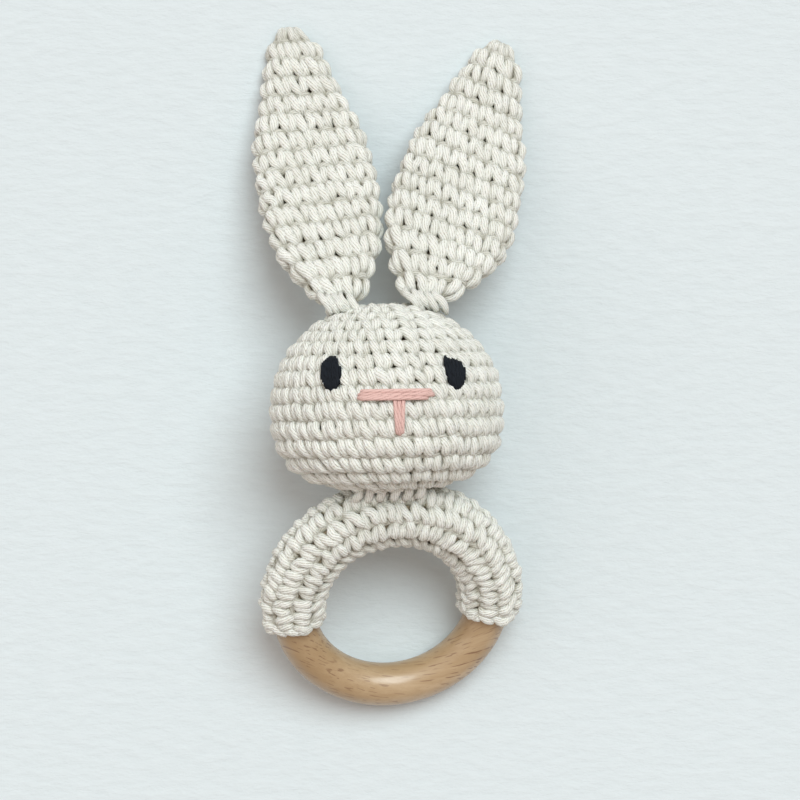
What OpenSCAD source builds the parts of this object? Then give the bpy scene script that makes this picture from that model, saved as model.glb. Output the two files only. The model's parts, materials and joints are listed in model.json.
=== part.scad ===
// Baby rattle: a crocheted rabbit's head with two flat ears, sewn to a wooden ring.
// It lies on its back on a table, at z = 0: +X is to the right as the face is seen,
// +Y runs from the ring to the ears, and +Z points up, out of the face.

/* [Wooden ring] */
// Outer diameter of the ring
ring_d = 60; // [54:1:66]
// Diameter of the ring's round section
ring_tube_d = 10.8; // [9:0.2:12]

/* [Ring sleeve] */
// Thickness of the crocheted sleeve
sleeve_t = 2.8; // [2:0.1:3.2]
// Arc of the ring that the sleeve covers, in degrees
sleeve_arc = 199; // [160:1:240]
// How far the middle of that arc lies from the neck, in degrees towards -X
sleeve_mid = -1.5; // [-10:0.5:10]

/* [Head] */
// Diameter of the widest round
head_d = 56.4; // [54:0.2:60]
// Height from the widest round to the crown
head_up = 26; // [24:0.2:29]
// Depth from the widest round to the neck
head_down = 19.4; // [18:0.2:22]
// Thickness of the crocheted cover
cover_t = 3; // [2:0.1:3.5]

/* [Ears] */
// Plan length of the left ear, from its root to its tip
left_ear_l = 71; // [60:1:80]
// Plan length of the right ear
right_ear_l = 68; // [60:1:80]
// Widest breadth of the left ear
left_ear_w = 30.6; // [26:0.2:36]
// Widest breadth of the right ear
right_ear_w = 32.8; // [26:0.2:36]
// Thickness of the two flattened layers
ear_t = 6.6; // [5:0.2:8]

/* [Rattle capsule] */
// Outer diameter of the capsule
capsule_d = 26; // [24:0.5:28]
// Wall of the capsule
capsule_t = 1.4; // [1.2:0.1:1.6]
// Diameter of one bead
bead_d = 4.5; // [4:0.1:4.6]

/* [Face] */
// Width of an eye
eye_w = 5.2; // [4:0.1:6]
// Height of an eye
eye_h = 8.6; // [7:0.1:10]
// Length of the nose's bar
nose_w = 17.6; // [14:0.2:20]
// Length of the stem below the bar
stem_h = 8.8; // [6:0.2:10]
// Breadth of the nose's bar and stem
nose_t = 2.6; // [2:0.1:3]
// How far the face's threads stand out
thread_t = 1.3; // [1:0.1:1.8]

/* [Hidden] */
$fn = 64;

// Gaps: a face that rests on its neighbour, and two bodies that pass each other.
touch_gap = 0.05;
pass_gap = 0.35;
// How far a cutter reaches past what it cuts.
over = 1;

cream = [0.93, 0.91, 0.84];
fill_white = [0.97, 0.97, 0.97];
beech = [0.82, 0.66, 0.48];
ink = [0.1, 0.11, 0.14];
rose = [0.87, 0.62, 0.58];

// Head: a solid of revolution about Y. Its crown is an even dome, and its neck end is blunter.
head_a = head_d / 2;
head_z = head_a;
head_roll = 1.5;
crown_power = 2.1;
jaw_power = 2.65;

// Ring: its frame has +Y from its centre to the neck and +Z along its own axis.
ring_r = (ring_d - ring_tube_d) / 2;
ring_tube_r = ring_tube_d / 2;
sleeve_r = ring_tube_r + sleeve_t;
ring_turn = [27, 8, 4];
ring_up_z = cos(ring_turn[0]) * cos(ring_turn[1]);
ring_z = ring_r * sqrt(1 - ring_up_z * ring_up_z) + ring_tube_r;
ring_x = 1.2;
neck_y = -25.1;
// Unit vector from the ring's centre to the neck.
to_neck = [
    sin(ring_turn[0]) * sin(ring_turn[1]) * cos(ring_turn[2]) - cos(ring_turn[0]) * sin(ring_turn[2]),
    sin(ring_turn[0]) * sin(ring_turn[1]) * sin(ring_turn[2]) + cos(ring_turn[0]) * cos(ring_turn[2]),
    sin(ring_turn[0]) * cos(ring_turn[1])
];
ring_centre = [ring_x, neck_y - ring_r * to_neck[1], ring_z];
neck_at = ring_centre + ring_r * to_neck;
neck_r = sleeve_r + pass_gap;

// Threads: the sleeve's seam lies on its inner side, a little to the front, half sunk.
seam_r = 0.9;
seam_angle = 155;
seam_reach = sleeve_r - seam_r / 2;
seam_at = [ring_r + seam_reach * cos(seam_angle), seam_reach * sin(seam_angle)];
seam_short = 4;
neck_thread_r = 0.8;
neck_thread_angle = 52;
neck_thread_l = 15;

// Ears: each root's offset from the head's axis, each ear's lean and how far it bows to the side.
// Both roots run along X, so that an ear that swings stays beside the other one.
left_root = [-10.6, 2.9];
right_root = [10, 2.9];
left_lean = 8.5;
right_lean = -18;
left_bow = -1;
right_bow = 0.3;
bow_power = 4;
root_r = 1.5;
root_w = 9;
root_lift = 1.9;
loop_r = 0.5;
loop_pitch = 2.4;
root_trough_r = root_r + loop_r + pass_gap;
root_trough_w = root_w + 4;
tip_z = 1.55;
ear_sag = 1.5;
ear_edge_power = 2.5;
// Share of the full thickness at the foot and at the tip, and how fast it grows along the ear.
ear_foot_t = 0.46;
ear_tip_t = 0.3;
ear_swell = 4.5;
// Share of the length over which the foot turns back square to the head.
ear_foot_l = 0.25;
ear_tip_slope = -3;
ear_rings = 30;
ear_sides = 28;
// Share of the ear's length, then share of its full breadth.
left_outline = [
    [0, 0.33], [0.07, 0.55], [0.18, 0.84], [0.32, 0.97], [0.46, 1],
    [0.6, 0.92], [0.73, 0.73], [0.85, 0.55], [0.94, 0.42], [1, 0.2]
];
right_outline = [
    [0, 0.31], [0.07, 0.55], [0.18, 0.86], [0.32, 1], [0.46, 0.97],
    [0.6, 0.87], [0.73, 0.68], [0.85, 0.5], [0.94, 0.37], [1, 0.19]
];
// An ear's shape: its plan length, breadth, bow and outline.
left_shape = [left_ear_l, left_ear_w, left_bow, left_outline];
right_shape = [right_ear_l, right_ear_w, right_bow, right_outline];

// Capsule
capsule_at = [0, 2, head_z];
capsule_r = capsule_d / 2;
capsule_in_r = capsule_r - capsule_t;
lip_mid_r = capsule_r - capsule_t / 2;
lip_h = 1.2;
bead_shell_r = capsule_in_r - bead_d / 2 - pass_gap;
bead_fan = 32;

// Face: eyes and nose lie round the head's axis, turned a little towards +X.
eyes_turn = 4.5;
eye_spread = 32.7;
eye_y = 9.1;
bar_turn = 5.2;
stem_turn = 6.2;
nose_y = 4;
oval_sides = 24;

function power(base, exponent) = sign(base) * pow(abs(base), exponent);

// Outline of the head grown by g: radius and height at angle a from the widest round.
function head_point(a, g) = let (n = a < 0 ? jaw_power : crown_power, b = a < 0 ? head_down : head_up)
    [(head_a + g) * power(cos(a), 2 / n), (b + g) * power(sin(a), 2 / n)];

// Height of the head's surface at a distance from its axis, on the crown side.
function crown_y(r) = head_up * pow(1 - pow(r / head_a, crown_power), 1 / crown_power);

// Where an ear hinges, in the head's frame.
function root_at(root) = [root[0], crown_y(norm(root)) + root_lift, head_z + root[1]];

function turned(v, a) = [v[0] * cos(a) - v[1] * sin(a), v[0] * sin(a) + v[1] * cos(a), v[2]];

// Smooth curve through a table of [place, value] pairs, each stretch easing from one value to the next.
function outline_slope(table, i) = i == 0 || i == len(table) - 1
    ? (i == 0 ? (table[1][1] - table[0][1]) / (table[1][0] - table[0][0]) : ear_tip_slope)
    : (table[i + 1][1] - table[i - 1][1]) / (table[i + 1][0] - table[i - 1][0]);
function outline_at(table, t, i = 0) = i < len(table) - 2 && t > table[i + 1][0]
    ? outline_at(table, t, i + 1)
    : let (
        a = table[i], b = table[i + 1], w = b[0] - a[0], s = (t - a[0]) / w,
        ma = outline_slope(table, i) * w, mb = outline_slope(table, i + 1) * w
    ) (2 * s * s * s - 3 * s * s + 1) * a[1] + (s * s * s - 2 * s * s + s) * ma
        + (3 * s * s - 2 * s * s * s) * b[1] + (s * s * s - s * s) * mb;

// One ring of an ear's points, in the ear's frame: +Y to the tip, +Z to its face, origin on the hinge.
function ear_half_t(t) = ear_t / 2
    * min(1, ear_foot_t + ear_swell * t) * min(1, ear_tip_t + ear_swell * (1 - t));
function ear_drop(t, fall) = -fall * (1 - pow(1 - t, ear_sag));
function ear_ring(t, shape, fall, lean) = let (
        ear_l = shape[0],
        half_w = shape[1] / 2 * outline_at(shape[3], t),
        aside = shape[2] * (1 - pow(1 - t, bow_power)),
        half_t = ear_half_t(t),
        tilt = atan2(-fall * ear_sag * pow(1 - t, ear_sag - 1), ear_l),
        turn = -lean * pow(max(0, 1 - t / ear_foot_l), 2)
    ) [for (i = [0 : ear_sides - 1]) let (
        a = 360 * i / ear_sides,
        x = half_w * power(cos(a), 2 / ear_edge_power),
        z = half_t * power(sin(a), 2 / ear_edge_power)
    ) turned([x, 0, 0], turn) + [aside, ear_l * t - z * sin(tilt), ear_drop(t, fall) + z * cos(tilt)]];
function ear_points(shape, fall, lean) = [
    for (k = [0 : ear_rings]) each ear_ring(k / ear_rings, shape, fall, lean)
];

function x_reach(points) = [min([for (p = points) p[0]]), max([for (p = points) p[0]])];
function ear_reach(root, lean, shape) = let (
        at = turned(root_at(root), head_roll), fall = root_at(root)[2] - tip_z
    ) [for (p = ear_points(shape, fall, lean)) turned(p, lean + head_roll) + at];

// The origin is under the middle of the whole object's box.
left_cloud = ear_reach(left_root, left_lean, left_shape);
right_cloud = ear_reach(right_root, right_lean, right_shape);
low_x = x_reach(left_cloud)[0];
high_x = x_reach(right_cloud)[1];
high_y = max([for (p = left_cloud) p[1]]);
ring_axis_y = cos(ring_turn[0]) * sin(ring_turn[1]) * sin(ring_turn[2]) - sin(ring_turn[0]) * cos(ring_turn[2]);
low_y = ring_centre[1] - ring_r * sqrt(1 - ring_axis_y * ring_axis_y) - ring_tube_r;
to_origin = [-(low_x + high_x) / 2, -(low_y + high_y) / 2, 0];

module place() {
    translate(to_origin) children();
}

module head_frame() {
    place() rotate([0, 0, head_roll]) children();
}

module ring_frame() {
    place() translate(ring_centre) rotate(ring_turn) children();
}

module head_solid(g) {
    outline = [for (a = [-90 : 5 : 90]) head_point(a, g)];
    translate([0, 0, head_z]) rotate([-90, 0, 0]) rotate_extrude() polygon(concat([[0, -head_down - g]],
        [for (i = [1 : len(outline) - 2]) outline[i]], [[0, head_up + g]]));
}

// The head nods about a line through the middle of the sleeve's section, where the neck is: +X runs along it.
module neck_frame() {
    place() translate(neck_at) rotate([0, ring_turn[1], ring_turn[2]]) children();
}

// The trough under the head that the ring's sleeve lies in.
module neck_trough(g) {
    neck_frame() rotate([0, 90, 0]) cylinder(r = neck_r + g, h = head_d + 2 * over, center = true);
}

module neck_threads(r) {
    reach = neck_r + neck_thread_r;
    neck_frame() for (side = [-1, 1])
        translate([0, reach * cos(neck_thread_angle), side * reach * sin(neck_thread_angle)])
            rotate([0, 90, 0]) cylinder(r = r, h = neck_thread_l, center = true, $fn = 32);
}

module head_cover() {
    color(cream) difference() {
        head_frame() head_solid(0);
        difference() {
            head_frame() head_solid(-cover_t);
            neck_trough(cover_t);
        }
        neck_trough(0);
        neck_threads(neck_thread_r + touch_gap);
        for (root = [left_root, right_root])
            root_frame(root) rotate([0, 90, 0]) cylinder(r = root_trough_r, h = root_trough_w, center = true);
    }
}

module head_stuffing() {
    color(fill_white) difference() {
        head_frame() head_solid(-cover_t - touch_gap);
        neck_trough(cover_t + touch_gap);
        head_frame() translate(capsule_at) sphere(r = capsule_r + touch_gap);
    }
}

// The two halves of the capsule meet on a stepped lip.
module capsule_half(front) {
    side = front ? 1 : -1;
    difference() {
        sphere(r = capsule_r);
        sphere(r = capsule_in_r);
        translate([0, 0, -side * (capsule_r + over) / 2])
            cube([capsule_d + 2 * over, capsule_d + 2 * over, capsule_r + over], center = true);
    }
}

module capsule_front_shell() {
    color(fill_white) head_frame() translate(capsule_at) {
        difference() {
            capsule_half(true);
            translate([0, 0, -over]) difference() {
                cylinder(r = capsule_r + over, h = lip_h + over);
                translate([0, 0, -over]) cylinder(r = lip_mid_r - touch_gap, h = lip_h + 3 * over);
            }
        }
    }
}

module capsule_back_shell() {
    color(fill_white) head_frame() translate(capsule_at) {
        capsule_half(false);
        difference() {
            intersection() {
                sphere(r = capsule_r);
                translate([0, 0, -0.01]) cylinder(r = capsule_r, h = lip_h - touch_gap + 0.01);
            }
            translate([0, 0, -over]) cylinder(r = lip_mid_r, h = lip_h + 2 * over);
        }
    }
}

// Bead 0 lies at the lowest point of the capsule, and the others lie round it.
module bead(i) {
    fan = i == 0 ? 0 : bead_fan;
    color("silver") head_frame() translate(capsule_at) rotate([0, 0, 72 * i])
        translate([bead_shell_r * sin(fan), 0, -bead_shell_r * cos(fan)]) sphere(d = bead_d);
}

// A layer of thread on the head, cut to an outline that looks along the head's radius.
module face_thread(azimuth, y, layer_t) {
    intersection() {
        difference() {
            head_solid(layer_t);
            head_solid(touch_gap);
        }
        translate([0, y, head_z]) rotate([0, azimuth, 0])
            linear_extrude(height = head_a + layer_t + over) children();
    }
}

module oval(w, h) {
    polygon([for (i = [1 : oval_sides]) let (a = 360 * i / oval_sides) [w / 2 * cos(a), h / 2 * sin(a)]]);
}

module bar(w, h) {
    corner = min(w, h) / 2.2;
    for (x = [-1, 1], y = [-1, 1])
        translate([x * (w / 2 - corner), y * (h / 2 - corner)]) circle(r = corner, $fn = 24);
    square([w, h - 2 * corner], center = true);
    square([w - 2 * corner, h], center = true);
}

module eye(side) {
    color(ink) head_frame() face_thread(eyes_turn + side * eye_spread, eye_y, thread_t) oval(eye_w, eye_h);
}

module nose_bar() {
    color(rose) head_frame() face_thread(bar_turn, nose_y, thread_t) bar(nose_w, nose_t);
}

module nose_stem() {
    color(rose) head_frame() face_thread(stem_turn, nose_y - (nose_t + stem_h) / 2 - touch_gap, thread_t)
        bar(nose_t, stem_h);
}

// The line along which an ear is sewn on: +X runs along it and the origin is its middle.
module root_frame(root) {
    head_frame() translate(root_at(root)) children();
}

module root_loops(r) {
    for (i = [-1.5 : 1 : 1.5])
        translate([i * loop_pitch, 0, 0]) rotate([0, 90, 0]) rotate_extrude($fn = 32)
            translate([root_r, 0]) circle(r = r, $fn = 16);
}

module ear(root, lean, shape) {
    fall = root_at(root)[2] - tip_z;
    last = ear_rings * ear_sides;
    points = ear_points(shape, fall, lean);
    sides = [for (k = [0 : ear_rings - 1], i = [0 : ear_sides - 1]) let (j = (i + 1) % ear_sides)
        each [
            [k * ear_sides + i, k * ear_sides + j, (k + 1) * ear_sides + j],
            [k * ear_sides + i, (k + 1) * ear_sides + j, (k + 1) * ear_sides + i]
        ]];
    foot = [for (i = [0 : ear_sides - 1]) ear_sides - 1 - i];
    tip = [for (i = [0 : ear_sides - 1]) last + i];
    color(cream) difference() {
        union() {
            root_frame(root) rotate([0, 0, lean]) polyhedron(points, concat(sides, [foot], [tip]));
            root_frame(root) rotate([0, 90, 0]) cylinder(r = root_r, h = root_w, center = true, $fn = 32);
        }
        root_frame(root) root_loops(loop_r + touch_gap);
    }
}

module ear_seam(root) {
    color(cream) root_frame(root) root_loops(loop_r);
}

module neck_seam() {
    color(cream) neck_threads(neck_thread_r);
}

// A tube of radius r round the ring, at a distance from its axis and a height, over the sleeve's arc.
module ring_arc(at, r, arc) {
    rotate([0, 0, 90 + sleeve_mid - arc / 2]) rotate_extrude(angle = arc) translate(at) circle(r = r);
}

module ring_sleeve() {
    color(cream) ring_frame() difference() {
        ring_arc([ring_r, 0], sleeve_r, sleeve_arc);
        rotate_extrude() translate([ring_r, 0]) circle(r = ring_tube_r + pass_gap);
        ring_arc(seam_at, seam_r + touch_gap, sleeve_arc + over);
    }
}

module sleeve_seam() {
    color(cream) ring_frame() ring_arc(seam_at, seam_r, sleeve_arc - seam_short);
}

module wooden_ring() {
    color(beech) ring_frame() rotate_extrude() translate([ring_r, 0]) circle(r = ring_tube_r);
}

head_cover();
head_stuffing();
capsule_back_shell();
capsule_front_shell();
bead(0);  // bead_1
bead(1);  // bead_2
bead(2);  // bead_3
bead(3);  // bead_4
bead(4);  // bead_5
bead(5);  // bead_6
eye(-1);  // eye_left
eye(1);  // eye_right
nose_bar();
nose_stem();
ear(left_root, left_lean, left_shape);  // ear_left
ear(right_root, right_lean, right_shape);  // ear_right
ear_seam(left_root);  // ear_left_seam
ear_seam(right_root);  // ear_right_seam
neck_seam();
ring_sleeve();
sleeve_seam();
wooden_ring();
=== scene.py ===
"""A crocheted rabbit rattle on a wooden ring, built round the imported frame.

Lengths are in millimetres until a mesh is made.
"""

import json
import math

import bpy
import numpy as np
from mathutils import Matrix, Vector


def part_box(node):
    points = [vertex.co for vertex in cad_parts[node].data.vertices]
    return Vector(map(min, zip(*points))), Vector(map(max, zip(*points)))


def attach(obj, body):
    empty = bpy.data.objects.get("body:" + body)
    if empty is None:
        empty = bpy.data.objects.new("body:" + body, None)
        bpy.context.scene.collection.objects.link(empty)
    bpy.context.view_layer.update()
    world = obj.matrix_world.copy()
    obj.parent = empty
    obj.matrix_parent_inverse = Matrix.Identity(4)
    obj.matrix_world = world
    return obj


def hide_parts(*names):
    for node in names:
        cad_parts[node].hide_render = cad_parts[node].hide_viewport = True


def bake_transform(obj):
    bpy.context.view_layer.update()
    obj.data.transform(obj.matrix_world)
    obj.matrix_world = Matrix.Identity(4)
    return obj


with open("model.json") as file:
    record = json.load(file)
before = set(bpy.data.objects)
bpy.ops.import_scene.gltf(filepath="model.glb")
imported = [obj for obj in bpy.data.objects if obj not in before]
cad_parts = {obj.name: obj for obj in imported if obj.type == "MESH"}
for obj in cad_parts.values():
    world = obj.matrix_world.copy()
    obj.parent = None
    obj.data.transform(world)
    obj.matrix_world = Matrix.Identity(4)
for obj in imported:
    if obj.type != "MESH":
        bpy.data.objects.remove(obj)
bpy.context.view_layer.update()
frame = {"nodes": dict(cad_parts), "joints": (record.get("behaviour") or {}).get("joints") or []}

MM = 0.001
rng = np.random.default_rng(11)
joints = {j["name"]: j for j in frame["joints"]}


# ---------------------------------------------------------------- places, from the frame

def corners(node):
    low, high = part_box(node)
    return np.array(low) / MM, np.array(high) / MM


def joint_at(name):
    return np.array(joints[name]["pos_m"]) / MM


def unit(v):
    v = np.asarray(v, float)
    return v / np.linalg.norm(v, axis=-1, keepdims=True)


UP = np.array([0.0, 0.0, 1.0])

# Head: a ball of revolution about head_y, with the face along +Z. Its outline is a superellipse on each side of
# the widest round, with a half height and a power of its own.
head_x = unit(joints["left_ear_flop"]["axis"])
head_y = np.cross(UP, head_x)
head_low, head_high = corners("head_cover")
head_r = (head_high[2] - head_low[2]) / 2
crown_h = 26.0
neck_h = 19.4
CROWN_POWER = 2.1
NECK_POWER = 2.65
head_c = np.array([
    (head_low[0] + head_high[0]) / 2,
    head_high[1] - crown_h,
    (head_low[2] + head_high[2]) / 2,
])

# Ring: its centre, its axis and the direction from its centre to the neck. The sleeve covers it between two
# angles, and the head's fabric makes a trough round the sleeve.
ring_c = joint_at("ring_turn")
ring_axis = unit(joints["ring_turn"]["axis"])
neck = joint_at("neck_nod")
nod_axis = unit(joints["neck_nod"]["axis"])
ring_r = float(np.linalg.norm(neck - ring_c))
to_neck = (neck - ring_c) / ring_r
ring_side = np.cross(to_neck, ring_axis)
sleeve_r = 8.2
trough_r = 8.8
wood_r = 5.4
sleeve_from = math.radians(-100)
sleeve_to = math.radians(97)
# The seam's place round the sleeve's section, as a share of a turn.
seam_v = (155 + 180) / 360

# Ears: the thickness, and the tip's height. An outline is the share of the length and of the breadth there.
ear_t = 6.6
tip_z = 1.55
# The yarn's ears are turned this many degrees anticlockwise of the CAD's, and are this much longer.
EXTRA_LEAN = 1.5
EXTRA_LENGTH = 1.5
EAR_OUTLINES = {
    "left": np.array([
        (0, 0.33), (0.07, 0.55), (0.18, 0.84), (0.32, 0.97), (0.46, 1),
        (0.6, 0.92), (0.73, 0.73), (0.85, 0.55), (0.94, 0.42), (1, 0.2),
    ]),
    "right": np.array([
        (0, 0.31), (0.07, 0.55), (0.18, 0.86), (0.32, 1), (0.46, 0.97),
        (0.6, 0.87), (0.73, 0.68), (0.85, 0.5), (0.94, 0.37), (1, 0.19),
    ]),
}
ears = {
    "left": {"length": 71.0, "breadth": 30.6, "lean": math.radians(8.5 + EXTRA_LEAN), "bow": -1.0},
    "right": {"length": 68.0, "breadth": 32.8, "lean": math.radians(-18 + EXTRA_LEAN), "bow": 0.3},
}
for side, ear in ears.items():
    ear["root"] = joint_at(f"{side}_ear_flop")
    ear["outline"] = EAR_OUTLINES[side]

# Yarn: the middle of the stitches lies this far under the CAD's outer surface, and the dark sheet of painted
# shade further in.
MIDDLE = 0.85
SLEEVE_MIDDLE = 1.1
EAR_MIDDLE = 1.3
SHADE_SHEET_DEPTH = 1.9
# The sleeve's dark sheet of painted shade lies between these two heights over the wood.
SLEEVE_SHADE_SHEET = (0.35, 0.9)
YARN_R = 1.12
STITCH_W = 4.3


# ---------------------------------------------------------------- mesh building

def spline_weights(k, m):
    """The weights that turn k control points into m points along a Catmull-Rom spline."""
    t = np.linspace(0, k - 1, m)
    i = np.clip(t.astype(int), 0, k - 2)
    f = t - i
    basis = [
        -0.5 * f + f**2 - 0.5 * f**3,
        1 - 2.5 * f**2 + 1.5 * f**3,
        0.5 * f + 2 * f**2 - 1.5 * f**3,
        -0.5 * f**2 + 0.5 * f**3,
    ]
    w = np.zeros((m, k))
    rows = np.arange(m)
    for step, b in zip((-1, 0, 1, 2), basis):
        j = i + step
        low, high = j < 0, j > k - 1
        inside = ~(low | high)
        np.add.at(w, (rows[inside], j[inside]), b[inside])
        for out, end, inner in ((low, 0, 1), (high, k - 1, k - 2)):
            np.add.at(w, (rows[out], np.full(out.sum(), end)), 2 * b[out])
            np.add.at(w, (rows[out], np.full(out.sum(), inner)), -b[out])
    return w


def pressed_on_floor(z, soft=0.6):
    """Yarn that would reach below the floor is pressed flat on it."""
    return np.where(z < soft, soft * np.exp((np.minimum(z, soft) - soft) / soft), z)


class Strands:
    """Gathers tubes of yarn into one mesh.

    Each tube is closed, and its yarn map holds the turn round it and the length along it.
    """

    def __init__(self):
        self.verts, self.quads, self.caps, self.turns, self.tints, self.painted_shade_heights = [], [], [], [], [], []
        self.count = 0

    def add(self, points, side, radius, sides=12, flat=0.92, loop=False, rise=None, lobed=False):
        """Adds tubes along points, which is (tubes, rings, 3).

        side is a vector for each point or tube that the section's width follows, radius is (tubes, rings), and
        rise is the points' height over the fabric, which sets painted shade: the yarn darkens where it lies
        low.
        A lobed tube shows the turns of its plies.
        """
        tubes, rings = points.shape[:2]
        if loop:
            tangent = unit(np.roll(points, -1, 1) - np.roll(points, 1, 1))
        else:
            tangent = unit(np.gradient(points, axis=1))
        if side.ndim == 2:
            side = side[:, None, :]
        across = unit(side - (side * tangent).sum(-1, keepdims=True) * tangent)
        up = np.cross(tangent, across)
        a = np.arange(sides) * 2 * np.pi / sides
        ring = (
            across[:, :, None] * np.cos(a)[:, None]
            + up[:, :, None] * np.sin(a)[:, None] * flat
        )
        steps = np.linalg.norm(np.diff(points, axis=1), axis=-1)
        length = np.concatenate([np.zeros((tubes, 1)), np.cumsum(steps, 1)], 1)
        size = radius[:, :, None]
        if lobed:
            twist = 2 * np.pi * length[:, :, None] / LOBE_MM
            size = size * (1 + LOBE_DEPTH * np.cos(LOBES * (a + twist)))
        verts = points[:, :, None] + ring * (size + np.zeros(sides))[..., None]
        if loop:
            length = np.concatenate([length, length[:, -1:] + steps[:, :1]], 1)

        spans = rings if loop else rings - 1
        t, j, k = np.meshgrid(np.arange(tubes), np.arange(spans), np.arange(sides), indexing="ij")
        nj, nk = (j + 1) % rings, (k + 1) % sides
        base = self.count + t * rings * sides
        near, far = base + j * sides, base + nj * sides
        quads = np.stack([near + k, near + nk, far + nk, far + k], -1)
        turn = np.stack([k, k + 1, k + 1, k], -1) / sides
        along = np.stack([length[t, j], length[t, j], length[t, j + 1], length[t, j + 1]], -1)
        self.quads.append(quads.reshape(-1, 4))
        self.turns.append(np.stack([turn, along], -1).reshape(-1, 2))
        if not loop:
            first = self.count + np.arange(tubes)[:, None] * rings * sides
            self.caps.append(first + np.arange(sides)[::-1])
            self.caps.append(first + (rings - 1) * sides + np.arange(sides))
        self.verts.append(verts.reshape(-1, 3))
        self.tints.append(np.repeat(rng.random(tubes), rings * sides))
        # Painted shade: each point's height over the fabric is kept, and the yarn's colour darkens towards deep
        # where it is low.
        if rise is None:
            self.painted_shade_heights.append(np.ones(tubes * rings * sides))
        else:
            # The section's upper half faces out of the fabric on a rope of loops, and into it on a leg.
            outward = np.sin(a) if loop or tubes == 1 else -np.sin(a)
            self.painted_shade_heights.append((rise[:, :, None] + outward * flat * radius[:, :, None]).ravel())
        self.count += tubes * rings * sides

    def mesh(self, name, warp=None):
        verts = np.concatenate(self.verts)
        if warp is not None:
            verts = warp(verts)
        verts[:, 2] = pressed_on_floor(verts[:, 2])
        quads = np.concatenate(self.quads)
        turns = np.concatenate(self.turns)
        polys = [list(c) for block in self.caps for c in block]
        corner_index = np.concatenate([quads.ravel()] + [np.array(p) for p in polys])
        totals = np.concatenate([np.full(len(quads), 4), np.array([len(p) for p in polys], int)])
        starts = np.concatenate([[0], np.cumsum(totals)[:-1]])
        me = bpy.data.meshes.new(name)
        me.vertices.add(len(verts))
        me.vertices.foreach_set("co", (verts * MM).astype(np.float32).ravel())
        me.loops.add(len(corner_index))
        me.loops.foreach_set("vertex_index", corner_index.astype(np.int32))
        me.polygons.add(len(totals))
        me.polygons.foreach_set("loop_start", starts.astype(np.int32))
        me.polygons.foreach_set("use_smooth", np.ones(len(totals), bool))
        uv = np.zeros((len(corner_index), 2), np.float32)
        uv[: len(turns)] = turns
        me.uv_layers.new(name="yarn").data.foreach_set("uv", uv.ravel())
        for layer, values in (("tint", self.tints), ("rise", self.painted_shade_heights)):
            attribute = me.attributes.new(layer, "FLOAT", "POINT")
            attribute.data.foreach_set("value", np.concatenate(values).astype(np.float32))
        me.update()
        me.validate()
        ob = bpy.data.objects.new(name, me)
        bpy.context.scene.collection.objects.link(ob)
        return ob


def grid_mesh(name, points, wrap_u=False, wrap_v=False, cap=False):
    """A smooth surface through a grid of points, (rows, columns, 3)."""
    rows, cols = points.shape[:2]
    down = np.arange(rows if wrap_v else rows - 1)
    over = np.arange(cols if wrap_u else cols - 1)
    r, c = np.meshgrid(down, over, indexing="ij")
    nr, nc = (r + 1) % rows, (c + 1) % cols
    faces = np.stack([r * cols + c, r * cols + nc, nr * cols + nc, nr * cols + c], -1)
    faces = faces.reshape(-1, 4).tolist()
    if cap:
        faces.append(list(range(cols))[::-1])
        faces.append([(rows - 1) * cols + k for k in range(cols)])
    me = bpy.data.meshes.new(name)
    me.from_pydata((points.reshape(-1, 3) * MM).tolist(), [], faces)
    me.polygons.foreach_set("use_smooth", np.ones(len(me.polygons), bool))
    me.update()
    ob = bpy.data.objects.new(name, me)
    bpy.context.scene.collection.objects.link(ob)
    return ob


# ---------------------------------------------------------------- surfaces that the yarn lies on

def outline_half(y, grow):
    """Power and half height of the head's outline, on the neck's side where y is below 0."""
    return np.where(y < 0, NECK_POWER, CROWN_POWER), np.where(y < 0, neck_h, crown_h) + grow


def signed_power(x, n):
    return np.sign(x) * np.abs(x) ** n


def length_table(grow):
    """Share of the length from the neck, radius and height, along the head's outline grown by that much."""
    a = np.linspace(-np.pi / 2, np.pi / 2, 721)
    n, half = outline_half(a, grow)
    r = (head_r + grow) * signed_power(np.cos(a), 2 / n)
    y = half * signed_power(np.sin(a), 2 / n)
    s = np.concatenate([[0], np.cumsum(np.hypot(np.diff(r), np.diff(y)))])
    return s / s[-1], r, y


head_s, head_prof_r, head_prof_y = length_table(-MIDDLE)


def head_surface(u, v):
    """u turns round the head from the face, and v runs from the neck to the crown."""
    r = np.interp(v, head_s, head_prof_r)
    y = np.interp(v, head_s, head_prof_y)
    flat = head_x * np.sin(u)[..., None] + UP * np.cos(u)[..., None]
    return head_c + r[..., None] * flat + y[..., None] * head_y


def sleeve_surface(u, v):
    """u turns round the ring from the neck, and v round its section, from the inner side over the back."""
    out = to_neck * np.cos(u)[..., None] - ring_side * np.sin(u)[..., None]
    v = 2 * np.pi * v - np.pi
    rho = sleeve_r - SLEEVE_MIDDLE
    return ring_c + out * (ring_r + rho * np.cos(v))[..., None] + ring_axis * (rho * np.sin(v))[..., None]


# How sharply the ear falls from its root, how far its rows slant, and the share of its length that the tip
# rounds off.
EAR_SAG = 1.5
EAR_SKEW = -0.16
EAR_DOME = 0.07
# Its thickness at the root as a share of the whole, how fast that grows, and the share of the length that turns
# from the root's line to the ear's own.
ROOT_T = 0.6
ROOT_GROWTH = 4.5
EAR_FOOT = 0.25


def ear_breadth(ear, v):
    """Half the ear's breadth, on a smooth curve through its outline."""
    x, y = ear["outline"].T
    slope = np.gradient(y, x)
    slope[-1] = -3
    i = np.clip(np.searchsorted(x, v, side="right") - 1, 0, len(x) - 2)
    w = x[i + 1] - x[i]
    s = (v - x[i]) / w
    a, b, ma, mb = y[i], y[i + 1], slope[i] * w, slope[i + 1] * w
    share = (2 * s**3 - 3 * s**2 + 1) * a + (s**3 - 2 * s**2 + s) * ma
    share = share + (3 * s**2 - 2 * s**3) * b + (s**3 - s**2) * mb
    return ear["breadth"] / 2 * share


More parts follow.
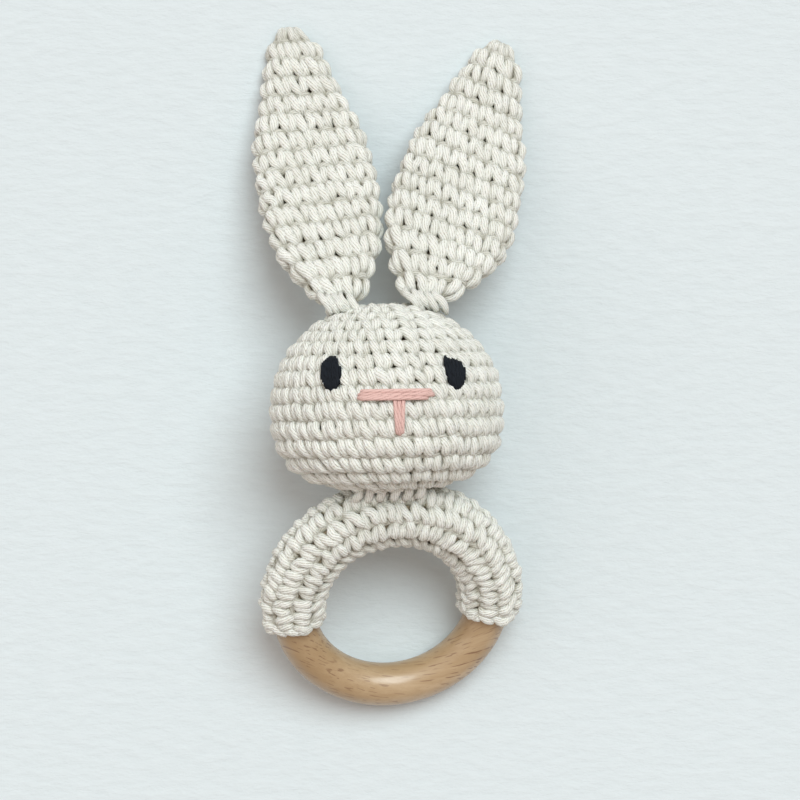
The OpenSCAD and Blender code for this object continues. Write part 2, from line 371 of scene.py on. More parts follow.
def stadium(s, w, h):
    """A point at share s of the way round a flat tube's section, from its left edge over the front."""
    quarter, straight = np.pi * h / 2, 2 * (w - h)
    p = (s % 1.0) * (4 * quarter + 2 * straight)
    bend = [
        p < quarter,
        p < quarter + straight,
        p < 3 * quarter + straight,
        p < 3 * quarter + 2 * straight,
    ]
    end = w - h
    x = np.select(bend, [
        -end - h * np.cos(p / h),
        -end + (p - quarter),
        end + h * np.sin((p - quarter - straight) / h),
        end - (p - 3 * quarter - straight),
    ], -end - h * np.sin((p - 3 * quarter - 2 * straight) / h))
    z = np.select(bend, [
        h * np.sin(p / h),
        h + 0 * p,
        h * np.cos((p - quarter - straight) / h),
        -h + 0 * p,
    ], -h * np.cos((p - 3 * quarter - 2 * straight) / h))
    return x, z


def ear_surface(ear):
    """u runs round the flattened tube from its left edge over the front, and v from the root to the tip."""
    root, length, lean = ear["root"], ear["length"], ear["lean"]
    fall = root[2] - tip_z

    def surface(u, v):
        t = np.clip(v, 0, 1)
        dome = np.sqrt(1 - np.clip((t - 1 + EAR_DOME) / EAR_DOME, 0, 0.995) ** 2)
        half_t = (ear_t / 2 * np.minimum(1, ROOT_T + ROOT_GROWTH * t) - MIDDLE) * dome
        half_w = (ear_breadth(ear, np.minimum(t, 1 - EAR_DOME / 2)) - EAR_MIDDLE) * dome
        half_w = np.maximum(half_w, half_t + 0.05)
        x, z = stadium(u / (2 * np.pi), half_w, half_t)
        v = v * (1 + EXTRA_LENGTH / length) + EAR_SKEW * t * x / length
        tilt = np.arctan2(-fall * EAR_SAG * (1 - t) ** (EAR_SAG - 1), length)
        turn = -(lean - math.radians(EXTRA_LEAN)) * np.maximum(0, 1 - t / EAR_FOOT) ** 2
        px = x * np.cos(turn) + ear["bow"] * (1 - (1 - t) ** 4)
        py = x * np.sin(turn) + length * v - z * np.sin(tilt)
        pz = -fall * (1 - (1 - t) ** EAR_SAG) + z * np.cos(tilt)
        c, s = math.cos(lean), math.sin(lean)
        return root + np.stack([px * c - py * s, px * s + py * c, pz], -1)

    return surface


def frame_on(surface, u, v, step=1e-3):
    """A surface's points with their normals and their directions along u and v."""
    p = surface(u, v)
    pu = (surface(u + step, v) - surface(u - step, v)) / (2 * step)
    pv = (surface(u, v + step) - surface(u, v - step)) / (2 * step)
    return p, unit(np.cross(pu, pv)), pu, pv


# ---------------------------------------------------------------- crochet

# A stitch's left leg: share of the stitch's width, share of the row's height, and height over the fabric's
# middle. Where the fabric is stretched its rows lie flat, and where it is slack each row stands up as a ridge.
LEG_FLAT = np.array([
    (0.03, -0.10, -1.8),
    (-0.04, 0.05, -0.75),
    (-0.14, 0.29, -0.10),
    (-0.23, 0.56, 0.12),
    (-0.28, 0.82, 0.02),
    (-0.30, 1.02, -0.65),
    (-0.28, 1.14, -1.7),
])
LEG_RIDGED = np.array([
    (-0.04, 0.00, -2.1),
    (-0.09, 0.12, -1.25),
    (-0.16, 0.31, -0.40),
    (-0.23, 0.54, 0.20),
    (-0.28, 0.78, 0.32),
    (-0.28, 1.00, -0.28),
    (-0.24, 1.09, -1.7),
])
LEG_R = np.array([0.72, 0.86, 1.03, 1.14, 1.14, 1.04, 0.8])
# A stitch's two legs: the side, how much later it starts, and how much higher it lies.
LEGS = ((1, 0, 0.08), (-1, 0.03, -0.2))
# The plies in a strand's shape: how many, how deep, and the length of one turn.
LOBES = 3
LOBE_DEPTH = 0.06
LOBE_MM = 9.0
LEG_RINGS = 12
LOOP_STEPS = 8
# Past this v a surface is drawn together to a point, and its last row ends here and has no free loops.
CLOSED = 0.999
LAST_END = 0.96
# The head's stitches stay this far in v from its pole at the neck, where the surface has no direction.
HEAD_POLE = 0.003


def crochet(surface, rows, strands, jitter, deepest=-3.0, lowest=-1.0):
    """Single crochet on a surface: two legs for each stitch and, along each row, a rope of top loops.

    A row is (start of v, end of v, stitches, start of u, end of u, shift, slant, ridge). No point of a strand's
    middle is placed below deepest in height, and no leg's below lowest in v.
    """
    weights = spline_weights(len(LEG_FLAT), LEG_RINGS)
    for v0, v1, n, u0, u1, shift, slant, ridge in rows:
        leg = LEG_FLAT + ridge * (LEG_RIDGED - LEG_FLAT)
        du = (u1 - u0) / n
        centre = u0 + (np.arange(n) + 0.5 + shift) * du
        closed = abs(u1 - u0 - 2 * np.pi) < 1e-6
        wide = []
        for mirror, late, lift in LEGS:
            a = leg[:, 0] * mirror + slant * leg[:, 1] + jitter * rng.standard_normal((n, len(leg)))
            wobble = rng.standard_normal((n, 1)) + 0.4 * rng.standard_normal((n, len(leg)))
            t = leg[:, 1] + late + jitter * wobble
            if v1 > CLOSED:
                t = np.minimum(t, LAST_END)
            h = leg[:, 2] + lift + 3 * jitter * rng.standard_normal((n, len(leg)))
            u = centre[:, None] + a * du
            if not closed:
                u = np.clip(u, u0, u1)
            v = np.maximum(v0 + t * (v1 - v0), lowest)
            p, normal, pu, pv = frame_on(surface, u, v)
            width = np.linalg.norm(pu, axis=-1) * du
            wide.append(width)
            control = p + normal * np.maximum(h, deepest)[..., None]
            points = np.einsum("mk,skc->smc", weights, control)
            side = np.einsum("mk,skc->smc", weights, unit(pu))
            r = YARN_R * np.clip(0.35 + 0.65 * width / STITCH_W, 0.6, 1.12) * LEG_R
            r = r * (1 + 0.05 * rng.standard_normal((n, 1)))
            r, rise = (np.einsum("mk,sk->sm", weights, values) for values in (r, h))
            strands.add(points, side, r, rise=rise, lobed=True)
        if v1 > CLOSED:
            continue
        steps = n * LOOP_STEPS
        a = (np.arange(steps) + (0 if closed else 0.5)) / LOOP_STEPS
        wave = np.cos(2 * np.pi * (a - 0.5)) * (1 - 1.9 * ridge)
        u = u0 + a * du + (shift + slant) * du * closed
        v = v0 + (v1 - v0) * (1.0 + 0.16 * ridge + 0.07 * wave)
        p, normal, pu, pv = frame_on(surface, u, v)
        h = np.maximum(0.3 * wave - 0.85, deepest)
        points = p + normal * h[:, None]
        r = YARN_R * (0.86 + 0.2 * ridge) * np.clip(np.mean(wide) / STITCH_W, 0.6, 1.0) * np.ones(steps)
        strands.add(points[None], unit(pv)[None], r[None], sides=10, loop=closed, rise=h[None])


def full_turn(v0, v1, n, shift, slant, ridge):
    return (v0, v1, n, 0.0, 2 * np.pi, shift, slant, ridge)


def head_rows(rounds=18, lean=-0.17):
    """Stretched flat over the brow. Towards the neck the rounds are taller, ridged and aslant."""
    pitch = 1 + 0.3 * np.clip((8 - np.arange(rounds)) / 4, 0, 1)
    edges = np.concatenate([[0], np.cumsum(pitch)]) / pitch.sum()
    rows, shift = [], 0.0
    for i in range(rounds):
        r = np.interp((edges[i] + edges[i + 1]) / 2, head_s, head_prof_r)
        n = int(np.clip(6 * round(2 * np.pi * r / STITCH_W / 6), 6, 42))
        ridge = float(np.clip((10 - i) / 3, 0.1, 1))
        slant = lean * (1 + 1.2 * ridge)
        rows.append(full_turn(edges[i], edges[i + 1], n, shift, slant, ridge))
        shift += slant
    return rows


def ear_rows(ear, rounds=15, lean=-0.26):
    rows, shift = [], 0.0
    for i in range(rounds):
        half_w = float(ear_breadth(ear, np.array((i + 0.5) / rounds))) - EAR_MIDDLE
        half_t = ear_t / 2 - MIDDLE
        n = int(max(6, 2 * round((4 * (half_w - half_t) + 2 * np.pi * half_t) / STITCH_W / 2)))
        rows.append(full_turn(i / rounds, (i + 1) / rounds, n, shift, lean, 1.0))
        shift += lean
    return rows


def sleeve_rows(count=9, stitches=23):
    """Rows along the ring, from the seam and back to it. The last one in front is pulled aslant to the seam."""
    rows = []
    for i in range(count):
        slant, ridge = (-0.6, 0.6) if i == count - 1 else ((-0.4, 0.3)[i % 2], 0.35)
        start, shift = seam_v - 1 + i / count, 0.25 * (i % 2)
        rows.append((start, start + 1 / count, stitches, sleeve_from, sleeve_to, shift, slant, ridge))
    return rows


# ---------------------------------------------------------------- materials

class Nodes:
    """A short way to write a material's node tree."""

    def __init__(self, name):
        self.material = bpy.data.materials.new(name)
        self.material.use_nodes = True
        self.tree = self.material.node_tree
        self.shader = self.tree.nodes["Principled BSDF"]

    def add(self, kind, inputs=None, **settings):
        node = self.tree.nodes.new(kind)
        for key, value in settings.items():
            setattr(node, key, value)
        for key, value in (inputs or {}).items():
            self.set(node.inputs[key], value)
        return node

    def set(self, socket, value):
        if isinstance(value, bpy.types.NodeSocket):
            self.tree.links.new(value, socket)
        else:
            socket.default_value = value

    def math(self, operation, a, b=0.0, c=0.0):
        node = self.add("ShaderNodeMath", operation=operation)
        for socket, value in zip(node.inputs, (a, b, c)):
            self.set(socket, value)
        return node.outputs[0]

    def mix(self, share, a, b, blend="MIX"):
        node = self.add("ShaderNodeMix", data_type="RGBA", blend_type=blend)
        self.set(node.inputs[0], share)
        self.set(node.inputs[6], a)
        self.set(node.inputs[7], b)
        return node.outputs[2]

    def noise(self, vector, scale, detail=2.0, roughness=0.5):
        inputs = {"Vector": vector, "Scale": scale, "Detail": detail, "Roughness": roughness}
        return self.add("ShaderNodeTexNoise", inputs).outputs["Fac"]

    def ramp(self, value, low, high):
        node = self.add("ShaderNodeMapRange", {"Value": value, "From Min": low, "From Max": high})
        return node.outputs[0]

    def bump(self, height, strength, distance):
        node = self.add("ShaderNodeBump", {"Height": height, "Strength": strength, "Distance": distance})
        self.set(self.shader.inputs["Normal"], node.outputs[0])

    def finish(self, **inputs):
        for key, value in inputs.items():
            self.set(self.shader.inputs[key.replace("_", " ")], value)
        return self.material


def yarn_material(
    name, light, dark, deep, plies, ply_mm, ply_bump, sheen, subsurface=0.0, roughness=0.85, specular=0.5,
):
    """Twisted yarn, with plies that wind round the strand, fine fibres along them and a tint for each strand.
    The grooves between the plies are darkened towards dark as painted shade.

    deep is the colour of painted shade that it takes between the stitches and down the sides of the legs.
    """
    m = Nodes(name)
    uv = m.add("ShaderNodeUVMap", uv_map="yarn").outputs[0]
    xy = m.add("ShaderNodeSeparateXYZ", {0: uv})
    turn, along = xy.outputs[0], xy.outputs[1]
    tint = m.add("ShaderNodeAttribute", attribute_name="tint").outputs["Fac"]
    phase = m.math("ADD", m.math("MULTIPLY", turn, float(plies)), m.math("MULTIPLY", along, plies / ply_mm))
    ridge = m.math("POWER", m.math("ABSOLUTE", m.math("SINE", m.math("MULTIPLY", phase, math.pi))), 0.6)
    fibre_at = m.add("ShaderNodeCombineXYZ", {
        "X": m.math("MULTIPLY", phase, 2.2),
        "Y": m.math("MULTIPLY", along, 1.1),
        "Z": m.math("MULTIPLY", tint, 40.0),
    }).outputs[0]
    fibre = m.noise(fibre_at, 1.0, 3.0, 0.7)
    place = m.add("ShaderNodeTexCoord").outputs["Object"]
    cloud = m.noise(place, 160.0, 2.0, 0.5)
    fuzz = m.ramp(m.noise(place, 2600.0, 3.0, 0.7), 0.32, 0.68)
    # Painted shade: the ply grooves (ridge) darken the colour towards dark; the fibre, fuzz, cloud and tint add
    # random tone.
    height = m.math("ADD", m.math("MULTIPLY", ridge, 0.34), m.math("MULTIPLY", fibre, 0.42))
    height = m.math("ADD", height, m.math("MULTIPLY", fuzz, 0.24))
    groove_shade_and_tone = m.math("MULTIPLY", m.ramp(height, 0.34, 0.56), 0.76)
    groove_shade_and_tone = m.math("ADD", groove_shade_and_tone, m.math("MULTIPLY", m.ramp(cloud, 0.3, 0.7), 0.12))
    groove_shade_and_tone = m.math("ADD", groove_shade_and_tone, m.math("MULTIPLY", tint, 0.12))
    m.bump(height, 1.0, ply_bump * MM)
    # Painted shade: yarn that lies low between the stitches is darkened towards deep.
    rise = m.ramp(m.add("ShaderNodeAttribute", attribute_name="rise").outputs["Fac"], -0.9, 1.0)
    return m.finish(
        Base_Color=m.mix(rise, deep, m.mix(groove_shade_and_tone, dark, light)),
        Roughness=roughness,
        Specular_IOR_Level=specular,
        Sheen_Weight=sheen,
        Sheen_Roughness=0.5,
        Subsurface_Weight=subsurface,
        Subsurface_Radius=(1.0, 0.75, 0.5),
        Subsurface_Scale=0.001,
    )


# Painted shade: a dark brown sheet under the stitches that stands in for the shade seen through the gaps
# between them.
def shade_sheet_material():
    m = Nodes("painted_shade_sheet")
    place = m.add("ShaderNodeTexCoord").outputs["Object"]
    weave = m.noise(place, 1400.0, 3.0, 0.6)
    m.bump(weave, 0.6, 0.3 * MM)
    return m.finish(
        Base_Color=m.mix(m.ramp(weave, 0.3, 0.7), (0.26, 0.21, 0.135, 1), (0.42, 0.35, 0.24, 1)),
        Roughness=0.95,
    )


def wool_material():
    m = Nodes("white_stuffing")
    place = m.add("ShaderNodeTexCoord").outputs["Object"]
    tuft = m.noise(place, 500.0, 4.0, 0.7)
    m.bump(tuft, 0.8, 0.8 * MM)
    return m.finish(Base_Color=m.mix(tuft, (0.75, 0.74, 0.71, 1), (0.93, 0.92, 0.90, 1)), Roughness=1.0)


def plastic_material(name, colour, wear):
    """Moulded plastic with a fine tumbled grain and faint scuffs."""
    m = Nodes(name)
    place = m.add("ShaderNodeTexCoord").outputs["Object"]
    scuff = m.noise(place, 700.0, 4.0, 0.6)
    m.bump(scuff, 0.15, 0.1 * MM)
    worn = tuple(0.8 * c + 0.1 for c in colour) + (1,)
    return m.finish(
        Base_Color=m.mix(m.ramp(scuff, 0.55, 0.8), colour + (1,), worn),
        Roughness=m.math("ADD", m.math("MULTIPLY", scuff, wear), 0.25),
    )


def beech_material():
    """Oiled beech: soft year rings, a silky streak, and short dark rays in shallow curves along the plank.
    Its left side is darkened and browned with painted shade.
    """
    m = Nodes("oiled_beech")
    place = m.add("ShaderNodeTexCoord").outputs["Object"]
    rotation = (0.3, 0.15, math.radians(-9))
    turned = m.add("ShaderNodeMapping", {"Vector": place, "Rotation": rotation}).outputs[0]
    xyz = m.add("ShaderNodeSeparateXYZ", {0: turned})
    x, y, z = xyz.outputs
    bent = m.math("SUBTRACT", y, m.math("MULTIPLY", m.math("MULTIPLY", x, x), 9.0))
    plank = m.add("ShaderNodeCombineXYZ", {"X": x, "Y": bent, "Z": z}).outputs[0]

    def stretched(along, across, deep):
        return m.add("ShaderNodeMapping", {"Vector": plank, "Scale": (along, across, deep)}).outputs[0]

    year = m.noise(stretched(16, 90, 70), 1.0, 2.0, 0.5)
    streak = m.noise(stretched(60, 900, 600), 1.0, 3.0, 0.65)
    dash = m.ramp(m.noise(stretched(170, 2300, 600), 1.0, 1.0, 0.4), 0.625, 0.665)
    thick = m.ramp(m.noise(stretched(40, 120, 120), 1.0, 1.0, 0.5), 0.3, 0.6)
    dash = m.math("MULTIPLY", dash, m.math("ADD", m.math("MULTIPLY", thick, 0.65), 0.35))
    fleck = m.ramp(m.noise(stretched(700, 5200, 5200), 1.0, 1.0, 0.5), 0.6, 0.72)
    base = m.mix(m.ramp(year, 0.35, 0.65), (0.38, 0.26, 0.135, 1), (0.64, 0.505, 0.335, 1))
    # Painted shade: darker and browner towards the ring's left side, at -x.
    shaded_left_share = m.math("MULTIPLY", m.ramp(x, 0.008, -0.030), 0.62)
    base = m.mix(shaded_left_share, base, (0.28, 0.17, 0.06, 1))
    base = m.mix(m.math("MULTIPLY", m.ramp(streak, 0.35, 0.7), 0.52), base, (0.34, 0.22, 0.105, 1))
    base = m.mix(m.math("MULTIPLY", dash, 0.8), base, (0.20, 0.11, 0.055, 1))
    base = m.mix(m.math("MULTIPLY", fleck, 0.22), base, (0.30, 0.18, 0.09, 1))
    dip = m.math("ADD", m.math("MULTIPLY", dash, -0.6), m.math("MULTIPLY", streak, 0.3))
    m.bump(dip, 0.3, 0.1 * MM)
    return m.finish(
        Base_Color=base,
        Roughness=m.math("ADD", m.math("MULTIPLY", streak, 0.2), 0.32),
        Coat_Weight=0.55,
        Coat_Roughness=0.22,
    )


# In each yarn here, dark is partly painted shade in the ply grooves and partly random fibre tone.
# In each yarn here, deep is the colour of painted shade between the stitches.
cream = yarn_material(
    "cream_cotton", light=(0.96, 0.985, 0.925, 1), dark=(0.50, 0.50, 0.395, 1), deep=(0.25, 0.225, 0.13, 1),
    plies=11, ply_mm=17.0, ply_bump=0.5, sheen=0.15, subsurface=0.06,
)
# A dark sheet of painted shade, for the gaps between the stitches.
shade_sheet = shade_sheet_material()
ink = yarn_material(
    "navy_thread", light=(0.010, 0.014, 0.020, 1), dark=(0.001, 0.002, 0.003, 1), deep=(0, 0, 0, 1),
    plies=3, ply_mm=7.0, ply_bump=0.16, sheen=0.0, roughness=0.7, specular=0.16,
)
blush = yarn_material(
    "pink_thread", light=(0.77, 0.53, 0.48, 1), dark=(0.42, 0.23, 0.20, 1), deep=(0.3, 0.13, 0.1, 1),
    plies=4, ply_mm=9.0, ply_bump=0.2, sheen=0.1,
)


def dress(ob, body, material, slot, *nodes):
    """Gives a piece its material and hides the CAD nodes that it stands for; the slot is not used.
    It rides a body, or, given two bodies to blend between, is only fixed in place.
    """
    ob.data.materials.append(material)
    if isinstance(body, str):
        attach(ob, body)
    else:
        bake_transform(ob)
    if nodes:
        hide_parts(*nodes)
    return ob


# ---------------------------------------------------------------- pieces

def press_on_sleeve(verts):
    """The head's fabric is pressed into a trough round the sleeve at the neck."""
    away = verts - neck
    flat = away - (away @ nod_axis)[:, None] * nod_axis
    d = np.linalg.norm(flat, axis=1, keepdims=True)
    return verts + flat / np.maximum(d, 1e-6) * np.maximum(0, trough_r - d)


def under(surface, us, vs):
    """A grid of points at the depth of the dark sheet of painted shade under a surface."""
    vv, uu = np.meshgrid(vs, us, indexing="ij")
    p, normal = frame_on(surface, uu, vv)[:2]
    return p - SHADE_SHEET_DEPTH * normal


ROUND_HEAD = np.linspace(0, 2 * np.pi, 144, endpoint=False)


def make_head():
    rows = head_rows()
    for part, first, end in (("chin", 0, 6), ("cheeks", 6, 11), ("crown", 11, 18)):
        strands = Strands()
        crochet(head_surface, rows[first:end], strands, jitter=0.04, lowest=HEAD_POLE)
        ob = strands.mesh(f"head_crochet_{part}", press_on_sleeve)
        dress(ob, "head", cream, "cotton_yarn", "head_cover")
    # The dark sheet of painted shade under the head's stitches.
    points = under(head_surface, ROUND_HEAD, np.linspace(0.006, 0.994, 90))
    points = press_on_sleeve(points.reshape(-1, 3)).reshape(points.shape)
    dress(grid_mesh("head_shade_sheet", points, wrap_u=True, cap=True), "head", shade_sheet, "cotton_yarn")


def make_stuffing():
    """Fibre fill between the cover and the capsule, with a tufted surface."""
    grid = under(head_surface, ROUND_HEAD, np.linspace(0.03, 0.97, 70))
    points = grid.reshape(-1, 3)
    tufts = 0.93 + 0.025 * np.sin(points @ [1.9, 0.7, 0.3]) * np.sin(points @ [-0.4, 1.7, 1.1])
    points = head_c + (points - head_c) * tufts[:, None]
    ob = grid_mesh("head_fill", press_on_sleeve(points).reshape(grid.shape), wrap_u=True, cap=True)
    dress(ob, "head", wool_material(), "stuffing", "head_stuffing")


# Along the ear from its root, the start and the end of the stretch between the head's body and the ear's own.
BEND_START = -1.5
BEND_END = 5


def ear_bend(side):
    """The head and the ear, with the start and the end of the stretch along the ear between them."""
    ear = ears[side]
    slope = math.atan2((ear["root"][2] - tip_z) * EAR_SAG, ear["length"])
    along = np.array([
        -math.sin(ear["lean"]) * math.cos(slope),
        math.cos(ear["lean"]) * math.cos(slope),
        -math.sin(slope),
    ])
    start, end = ear["root"] + BEND_START * along, ear["root"] + BEND_END * along
    return "head", f"{side}_ear", tuple(start * MM), tuple(end * MM)


def make_ear(side):
    ear = ears[side]
    surface = ear_surface(ear)
    strands = Strands()
    crochet(surface, ear_rows(ear), strands, jitter=0.045)
    ob = dress(strands.mesh(f"ear_{side}_crochet"), ear_bend(side), cream, "cotton_yarn", f"ear_{side}")
    # The dark sheet of painted shade under the ear's stitches.
    points = under(surface, np.linspace(0, 2 * np.pi, 64, endpoint=False), np.linspace(0.01, 0.94, 60))
    dress(grid_mesh(f"ear_{side}_lining", points, wrap_u=True, cap=True), ear_bend(side), shade_sheet, "cotton_yarn")


def sleeve_shell():
    """The sleeve's dark sheet of painted shade, with an outer face under the stitches and an inner face round
    the wood.
    """
    u = np.linspace(sleeve_from, sleeve_to, 90)
    v = np.linspace(0, 1, 48, endpoint=False)
    uu, vv = np.meshgrid(u, v, indexing="ij")
    skin = sleeve_surface(uu, vv)
    spine = ring_c + ring_r * (to_neck * np.cos(uu)[..., None] - ring_side * np.sin(uu)[..., None])
    out = unit(skin - spine)
    inner, outer = (spine + out * (wood_r + height) for height in SLEEVE_SHADE_SHEET)
    return np.concatenate([outer, inner[::-1]])


def make_sleeve():
    rows = sleeve_rows()
    for part, chosen in (("back", rows[:5]), ("front", rows[5:])):
        strands = Strands()
        crochet(sleeve_surface, chosen, strands, jitter=0.06, deepest=-0.8)
        dress(strands.mesh(f"sleeve_crochet_{part}"), "sleeve", cream, "cotton_yarn", "ring_sleeve")
    dress(grid_mesh("sleeve_shade_sheet", sleeve_shell(), wrap_u=True, wrap_v=True), "sleeve", shade_sheet, "cotton_yarn")


def lumps(surface, starts, ends, heights, strands, radius, rings=9):
    """Short strands on a surface that rise out of it and go back in.

    starts and ends are (lumps, 2) of u and v.
    """
    share = np.linspace(0, 1, len(heights))
    uv = starts[:, None] + (ends - starts)[:, None] * share[:, None]
    uv = uv + 0.004 * rng.standard_normal(uv.shape)
    p, normal = frame_on(surface, uv[..., 0], uv[..., 1])[:2]
    control = p + normal * (np.array(heights) + 0.08 * rng.standard_normal(uv.shape[:2]))[..., None]
    weights = spline_weights(len(heights), rings)
    points = np.einsum("mk,skc->smc", weights, control)
    side = np.cross(np.gradient(points, axis=1), np.einsum("mk,skc->smc", weights, normal))
    r = radius * (0.75 + 0.3 * np.sin(np.linspace(0, np.pi, rings)))
    strands.add(points, side, np.tile(r, (len(starts), 1)))


def make_sleeve_edges():
    """The chain along the seam on the inner side, and the bound edge round each end."""
    strands = Strands()
    n = 21
    du = (sleeve_to - sleeve_from) / n
    u = sleeve_from + (np.arange(n) + 0.5) * du
    lean = 0.012
    starts = np.stack([u - 0.62 * du, np.full(n, seam_v - lean)], 1)
    ends = np.stack([u + 0.62 * du, np.full(n, seam_v + lean)], 1)
    lumps(sleeve_surface, starts, ends, (-0.7, 0.1, 0.5, 0.1, -0.7), strands, 0.95)
    around = 12
    v = (np.arange(around) + 0.5) / around
    for edge in (sleeve_from + 0.015, sleeve_to - 0.015):
        starts = np.stack([np.full(around, edge - 0.035), v - 0.58 / around], 1)
        ends = np.stack([np.full(around, edge + 0.035), v + 0.58 / around], 1)
        lumps(sleeve_surface, starts, ends, (-0.8, -0.4, -0.2, -0.4, -0.8), strands, 1.15)
    dress(strands.mesh("sleeve_edge_stitches"), "sleeve", cream, "cotton_yarn", "sleeve_seam")


def on_face(x, y, grow):
    """The place on the front of the head at x and y from head_c, and grow over the CAD's surface."""
    n, half = outline_half(y, grow)
    r = (head_r + grow) * (1 - (np.abs(y) / half) ** n) ** (1 / n)
    z = np.sqrt(np.maximum(r**2 - x**2, 0))
    return head_c + x[..., None] * head_x + y[..., None] * head_y + z[..., None] * UP


def face_place(node):
    """The middle of a node, and its half sizes, from the head's axis and widest round."""
    low, high = corners(node)
    away = (low + high) / 2 - head_c
    return away @ head_x, away @ head_y, (high - low)[:2] / 2


def satin(name, ends, radius, material, slot, node, rise=0.8, rings=22):
    """Threads side by side on the face, whose ends go into the stitches.

    ends is (threads, 2, 2), each thread's two ends as x and y.
    """
    share = np.array([0, 0.05, 0.25, 0.5, 0.75, 0.95, 1])
    height = np.array([-1.2, rise - 0.5, rise - 0.08, rise, rise - 0.08, rise - 0.5, -1.2])
    xy = ends[:, :1] + (ends[:, 1:] - ends[:, :1]) * share[:, None]
    control = on_face(xy[..., 0], xy[..., 1], height + 0.05 * rng.standard_normal(xy.shape[:2]))
    weights = spline_weights(len(share), rings)
    points = np.einsum("mk,skc->smc", weights, control)
    side = np.cross(np.gradient(points, axis=1), points - head_c)
    strands = Strands()
    strands.add(points, side, np.full(points.shape[:2], radius), sides=10)
    return dress(strands.mesh(name), "head", material, slot, node)


# An eye's outline: share of the half width, and the top and the bottom there as shares of the half height.
EYE_LEFT = (
    (-1, 0.20, -0.15), (-0.85, 0.60, -0.45), (-0.5, 0.90, -0.82), (0, 1.0, -1.0),
    (0.5, 0.96, -0.90), (0.85, 0.68, -0.50), (1, 0.25, -0.15),
)
EYE_RIGHT = (
    (-1, 0.84, 0.50), (-0.8, 0.76, -0.25), (-0.5, 0.70, -0.78), (0, 0.66, -1.12),
    (0.45, 0.56, -1.05), (0.8, 0.36, -0.80), (1, 0.10, -0.45),
)
EYE_HALF_W = 2.35
EYE_HALF_H = 4.1


def make_eye(node, outline, threads=13):
    x, y = face_place(node)[:2]
    a = np.linspace(-0.95, 0.95, threads)
    share, top, bottom = np.array(outline).T
    across = x + a * EYE_HALF_W
    tops = y + np.interp(a, share, top) * EYE_HALF_H + 0.1 * rng.standard_normal(threads)
    bottoms = y + np.interp(a, share, bottom) * EYE_HALF_H + 0.1 * rng.standard_normal(threads)
    tilt = 0.12 * rng.standard_normal(threads)
    ends = np.stack([np.stack([across, bottoms], 1), np.stack([across + tilt, tops], 1)], 1)
    satin(node + "_stitches", ends, 0.36, ink, "eye_thread", node)
    inner = ends[1:-1:2].copy()
    inner[:, 0, 1] += 0.5
    inner[:, 1, 1] -= 0.5
    satin(node + "_padding", inner, 0.5, ink, "eye_thread", node, rise=0.4)


def make_nose():
    x, y, half = face_place("nose_bar")
    left, right = x - half[0] - 0.3, x + half[0]
    heights = np.array([(-0.95, -1.1), (-0.75, 0), (0.05, -0.4), (0.8, 0.6)])
    ends = np.stack([
        np.stack([left + np.array([0.5, 0, 0.1, 0.6]), y + heights[:, 0]], 1),
        np.stack([right - np.array([1.4, 0.2, 0, 0.3]), y + heights[:, 1]], 1),
    ], 1)
    satin("nose_bar_stitches", ends, 0.5, blush, "nose_thread", "nose_bar", rise=0.95)
    x, y, half = face_place("nose_stem")
    a = np.array([-1, 0, 1])
    ends = np.stack([
        np.stack([x + 0.55 * a, y - half[1] + 0.6 + 0.3 * np.abs(a)], 1),
        np.stack([x + 1.0 * a, np.full(3, y + half[1])], 1),
    ], 1)
    satin("nose_stem_stitches", ends, 0.5, blush, "nose_thread", "nose_stem")


def make_neck_seam():
    """Slanting stitches of yarn that sew the head to the sleeve, in front and at the back."""
    strands = Strands()
    low, high = corners("neck_seam")
    for z in (low[2] + 0.8, high[2] - 0.8):
        front = 1 if z > neck[2] else -1
        n = 6
        x = np.linspace(low[0] + 1, high[0] - 1, n)
        middle = np.stack([x, np.full(n, (low[1] + high[1]) / 2) + 0.08 * x, np.full(n, z)], 1)
        arc = np.array([
            (-0.9, -1.9, -1.4 * front), (-0.45, -1.0, 0.1 * front), (0, 0, 0.5 * front),
            (0.45, 1.0, 0.1 * front), (0.9, 1.9, -1.4 * front),
        ])
        control = middle[:, None] + arc + 0.25 * rng.standard_normal((n, 5, 3))
        points = np.einsum("mk,skc->smc", spline_weights(5, 10), control)
        strands.add(points, np.tile([1.0, 0, 0], (n, 1)), np.full((n, 10), 1.05))
    middle = (low + high) / 2
    bend = ("head", "sleeve", tuple((middle + 1.5 * head_y) * MM), tuple((middle - 2.5 * head_y) * MM))
    dress(strands.mesh("neck_stitches"), bend, cream, "cotton_yarn", "neck_seam")


def make_ear_seam(side):
    """Whip stitches of yarn over the ear's root."""
    low, high = corners(f"ear_{side}_seam")
    middle = (low + high) / 2
    strands = Strands()
    n = 5
    x = np.linspace(-1, 1, n) * ((high - low)[0] / 2 - 0.6) + 0.25 * rng.standard_normal(n)
    for front in (1, -1):
        arc = np.array([
            (-1.5, 2.6, 0.8 * front), (-1.1, 1.7, 2.4 * front), (-0.1, 0.2, 3.1 * front),
            (0.9, -1.5, 2.5 * front), (1.3, -2.4, 0.4 * front),
        ])
        foot = middle + np.stack([x, 0 * x, 0 * x], 1)[:, None]
        control = foot + arc + 0.35 * rng.standard_normal((n, 5, 3))
        points = np.einsum("mk,skc->smc", spline_weights(5, 12), control)
        r = 0.98 * np.sin(np.linspace(0.5, np.pi - 0.5, 12))
        strands.add(points, np.tile([1.0, 0, 0], (n, 1)), np.tile(r, (n, 1)))
    dress(strands.mesh(f"ear_{side}_stitches"), ear_bend(side), cream, "cotton_yarn", f"ear_{side}_seam")


def finish_nodes():
    """The CAD pieces that stay: the wood, the capsule and its beads."""
    shell = plastic_material("capsule_plastic", (0.85, 0.86, 0.84), 0.2)
    bead = plastic_material("bead_plastic", (0.72, 0.10, 0.08), 0.15)
    for name, material in (
        [("wooden_ring", beech_material()), ("capsule_back_shell", shell), ("capsule_front_shell", shell)]
        + [(f"bead_{i}", bead) for i in range(1, 7)]
    ):
        for slot in frame["nodes"][name].material_slots:
            slot.material = material


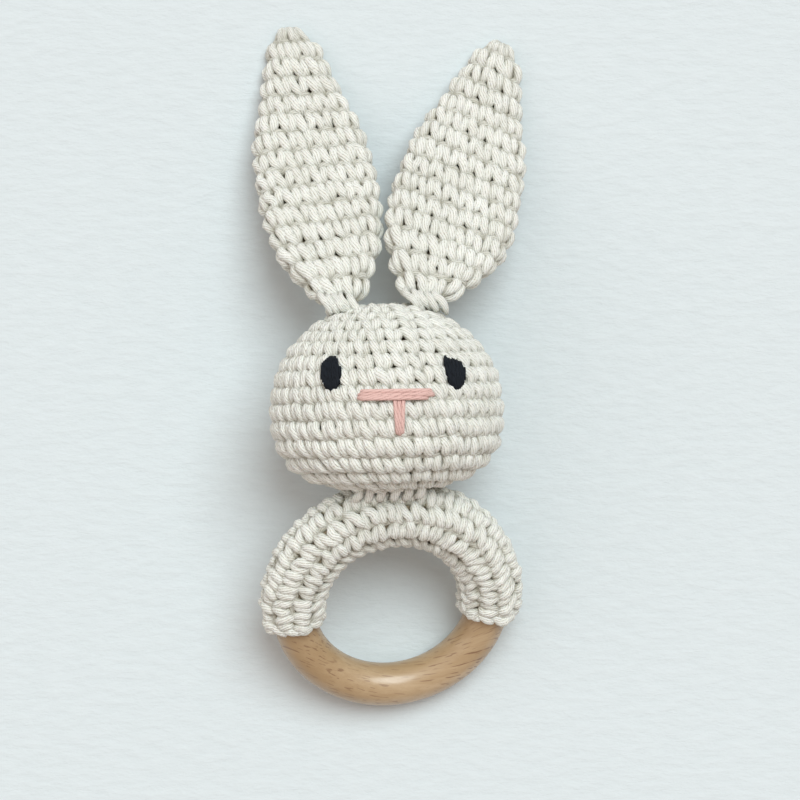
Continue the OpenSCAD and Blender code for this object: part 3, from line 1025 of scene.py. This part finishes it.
make_head()
make_stuffing()
for ear_side in ears:
    make_ear(ear_side)
    make_ear_seam(ear_side)
make_sleeve()
make_sleeve_edges()
make_eye("eye_left", EYE_LEFT)
make_eye("eye_right", EYE_RIGHT)
make_nose()
make_neck_seam()
finish_nodes()


# ---------------------------------------------------------------- floor, lights and camera

def make_floor():
    bpy.ops.mesh.primitive_plane_add(size=4)
    floor = bpy.context.object
    floor.name = "floor"
    m = Nodes("pale_cloth")
    place = m.add("ShaderNodeTexCoord").outputs["Object"]
    drawn = m.add("ShaderNodeMapping", {"Vector": place, "Scale": (160, 420, 1)}).outputs[0]
    nap = m.noise(drawn, 1.0, 4.0, 0.6)
    m.bump(nap, 0.5, 0.8 * MM)
    m.finish(Base_Color=m.mix(nap, (0.60, 0.67, 0.685, 1), (0.66, 0.73, 0.745, 1)), Roughness=0.95)
    floor.data.materials.append(m.material)


def add_sun(name, direction, energy, angle, colour):
    data = bpy.data.lights.new(name, "SUN")
    data.energy, data.angle, data.color = energy, angle, colour
    sun = bpy.data.objects.new(name, data)
    sun.rotation_euler = Vector(direction).to_track_quat("Z", "Y").to_euler()
    bpy.context.scene.collection.objects.link(sun)


def make_studio():
    """A soft light from the top right, a weaker and wider one from the left, and a warm fill all round."""
    make_floor()
    add_sun("key", (0.24, 0.40, 0.88), 2.45, 0.65, (0.875, 0.965, 1.0))
    add_sun("side", (-0.65, 0.10, 0.75), 0.55, 1.2, (0.95, 0.98, 1.0))
    world = bpy.data.worlds.new("studio")
    bpy.context.scene.world = world
    world.use_nodes = True
    background = world.node_tree.nodes["Background"]
    background.inputs["Color"].default_value = (1.0, 0.78, 0.69, 1)
    background.inputs["Strength"].default_value = 0.48
    bpy.context.scene.view_settings.view_transform = "Standard"


def make_camera():
    data = bpy.data.cameras.new("camera")
    data.lens = 123.6
    data.sensor_width = 36
    camera = bpy.data.objects.new("camera", data)
    camera.location = (2.55 * MM, -8.2 * MM, 0.70)
    bpy.context.scene.collection.objects.link(camera)
    bpy.context.scene.camera = camera


make_studio()
make_camera()
